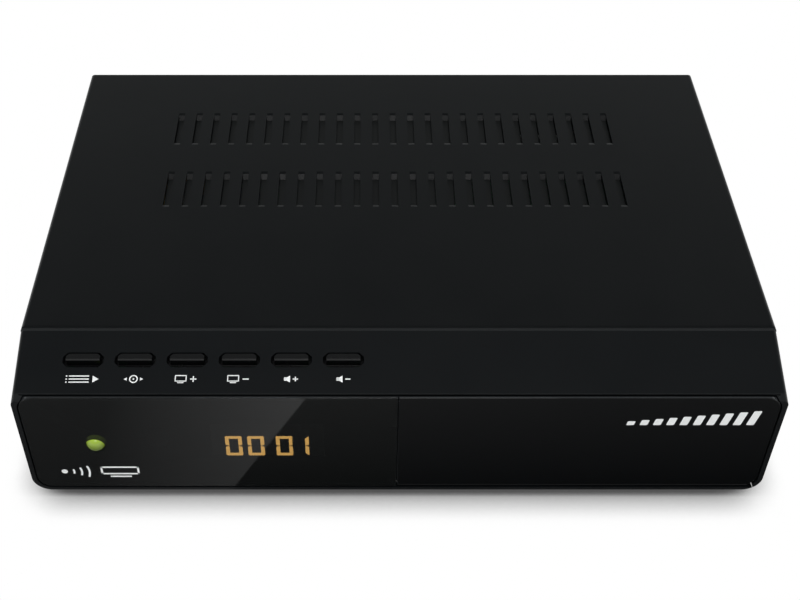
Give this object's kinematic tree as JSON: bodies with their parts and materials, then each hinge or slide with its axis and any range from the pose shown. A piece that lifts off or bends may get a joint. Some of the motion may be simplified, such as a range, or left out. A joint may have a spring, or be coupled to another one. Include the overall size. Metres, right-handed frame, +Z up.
{
  "type": "satellite television receiver",
  "caption": "Low black set-top receiver: louvred folded cover, sloping front with chamfered keys, smoked display window, drop-down flap, rear aerial, video, audio and mains sockets.",
  "frame": {"origin": "centre of the bounding box at its lowest face, where the feet stand", "axes": "+X to the right of a viewer facing the front, +Y towards the rear sockets, +Z up"},
  "size_m": [0.2246, 0.1656, 0.0513],
  "materials": {
    "cover_paint": "fine satin black paint on folded steel",
    "fascia_plastic": "fine-textured satin black moulding",
    "smoked_window": "polished smoked acrylic",
    "gloss_flap": "polished black moulding",
    "bay_plastic": "matt black moulding",
    "key_plastic": "satin black moulding",
    "switch_plastic": "moulded black plastic",
    "foot_rubber": "matt black rubber",
    "board_green": "green solder resist on glass-fibre board",
    "board_tan": "bare tan paper-phenolic board",
    "display_black": "black moulded display face",
    "lamp_green": "tinted green lamp lens",
    "tinned_steel": "bright tinned steel screening",
    "nickel_plate": "nickel-plated brass",
    "socket_black": "matt black moulding",
    "chip_epoxy": "moulded black epoxy",
    "heat_sink_aluminium": "extruded aluminium",
    "capacitor_sleeve": "shrunk dark sleeve with a bare metal top",
    "header_white": "off-white nylon",
    "wire_red": "coloured wire insulation",
    "clear_film": "thin insulating film",
    "tape_yellow": "yellow winding tape round a ferrite core",
    "ferrite_grey": "sintered ferrite",
    "fuse_glass": "glass tube with metal caps",
    "rocker_plastic": "satin black moulding",
    "screw_black": "black-plated steel"
  },
  "bodies": {
    "root": {"base_pan": "cover_paint", "board_headers": "header_white", "bulk_capacitor": "capacitor_sleeve", "card_reader": "socket_black", "connector_nuts": "nickel_plate", "digital_video_socket": "tinned_steel", "display_board": "board_green", "display_module": "display_black", "display_window": "smoked_window", "filter_choke": "ferrite_grey", "flap_bay": "bay_plastic", "foot_front_left": "foot_rubber", "foot_front_right": "foot_rubber", "foot_rear_left": "foot_rubber", "foot_rear_right": "foot_rubber", "front_fascia": "fascia_plastic", "fuse": "fuse_glass", "heat_sink": "heat_sink_aluminium", "insulation_sheet": "clear_film", "ir_receiver": "display_black", "key_board": "board_green", "lnb_in_connector": "nickel_plate", "lnb_out_connector": "nickel_plate", "main_board": "board_green", "main_capacitors": "capacitor_sleeve", "mains_inlet": "socket_black", "mains_inlet_pins": "nickel_plate", "mains_switch_housing": "socket_black", "memory_chips": "chip_epoxy", "network_socket": "tinned_steel", "phono_sockets": "socket_black", "power_board": "board_tan", "power_harness": "wire_red", "power_heat_sink": "heat_sink_aluminium", "processor_chip": "chip_epoxy", "ribbon_cable": "header_white", "scart_socket": "socket_black", "screws": "screw_black", "status_led": "lamp_green", "tact_switches": "switch_plastic", "top_cover": "cover_paint", "transformer": "tape_yellow", "tuner_module": "tinned_steel", "usb_socket": "tinned_steel"},
    "flap": {"front_flap": "gloss_flap"},
    "mains_rocker": {"mains_switch_rocker": "rocker_plastic"},
    "key_1": {"button_cap_1": "key_plastic", "switch_plunger_1": "switch_plastic"},
    "key_2": {"button_cap_2": "key_plastic", "switch_plunger_2": "switch_plastic"},
    "key_3": {"button_cap_3": "key_plastic", "switch_plunger_3": "switch_plastic"},
    "key_4": {"button_cap_4": "key_plastic", "switch_plunger_4": "switch_plastic"},
    "key_5": {"button_cap_5": "key_plastic", "switch_plunger_5": "switch_plastic"},
    "key_6": {"button_cap_6": "key_plastic", "switch_plunger_6": "switch_plastic"}
  },
  "joints": [
    {"name": "flap_hinge", "type": "hinge", "parent": "root", "child": "flap", "pos_m": [0.054, -0.08055, 0.00605], "axis": [1, 0, 0], "range_deg": [0, 90]},
    {"name": "mains_rocker_hinge", "type": "hinge", "parent": "root", "child": "mains_rocker", "pos_m": [-0.0732, 0.07155, 0.027], "axis": [-1, 0, 0], "range_deg": [0, 16]},
    {"name": "key_1_press", "type": "slide", "parent": "root", "child": "key_1", "axis": [0, 0.3253, -0.9456], "range_m": [0, 0.0005], "stiffness_N_per_m": 600, "springref_m": -0.0004},
    {"name": "key_2_press", "type": "slide", "parent": "root", "child": "key_2", "axis": [0, 0.3253, -0.9456], "range_m": [0, 0.0005], "stiffness_N_per_m": 600, "springref_m": -0.0004},
    {"name": "key_3_press", "type": "slide", "parent": "root", "child": "key_3", "axis": [0, 0.3253, -0.9456], "range_m": [0, 0.0005], "stiffness_N_per_m": 600, "springref_m": -0.0004},
    {"name": "key_4_press", "type": "slide", "parent": "root", "child": "key_4", "axis": [0, 0.3253, -0.9456], "range_m": [0, 0.0005], "stiffness_N_per_m": 600, "springref_m": -0.0004},
    {"name": "key_5_press", "type": "slide", "parent": "root", "child": "key_5", "axis": [0, 0.3253, -0.9456], "range_m": [0, 0.0005], "stiffness_N_per_m": 600, "springref_m": -0.0004},
    {"name": "key_6_press", "type": "slide", "parent": "root", "child": "key_6", "axis": [0, 0.3253, -0.9456], "range_m": [0, 0.0005], "stiffness_N_per_m": 600, "springref_m": -0.0004}
  ]
}
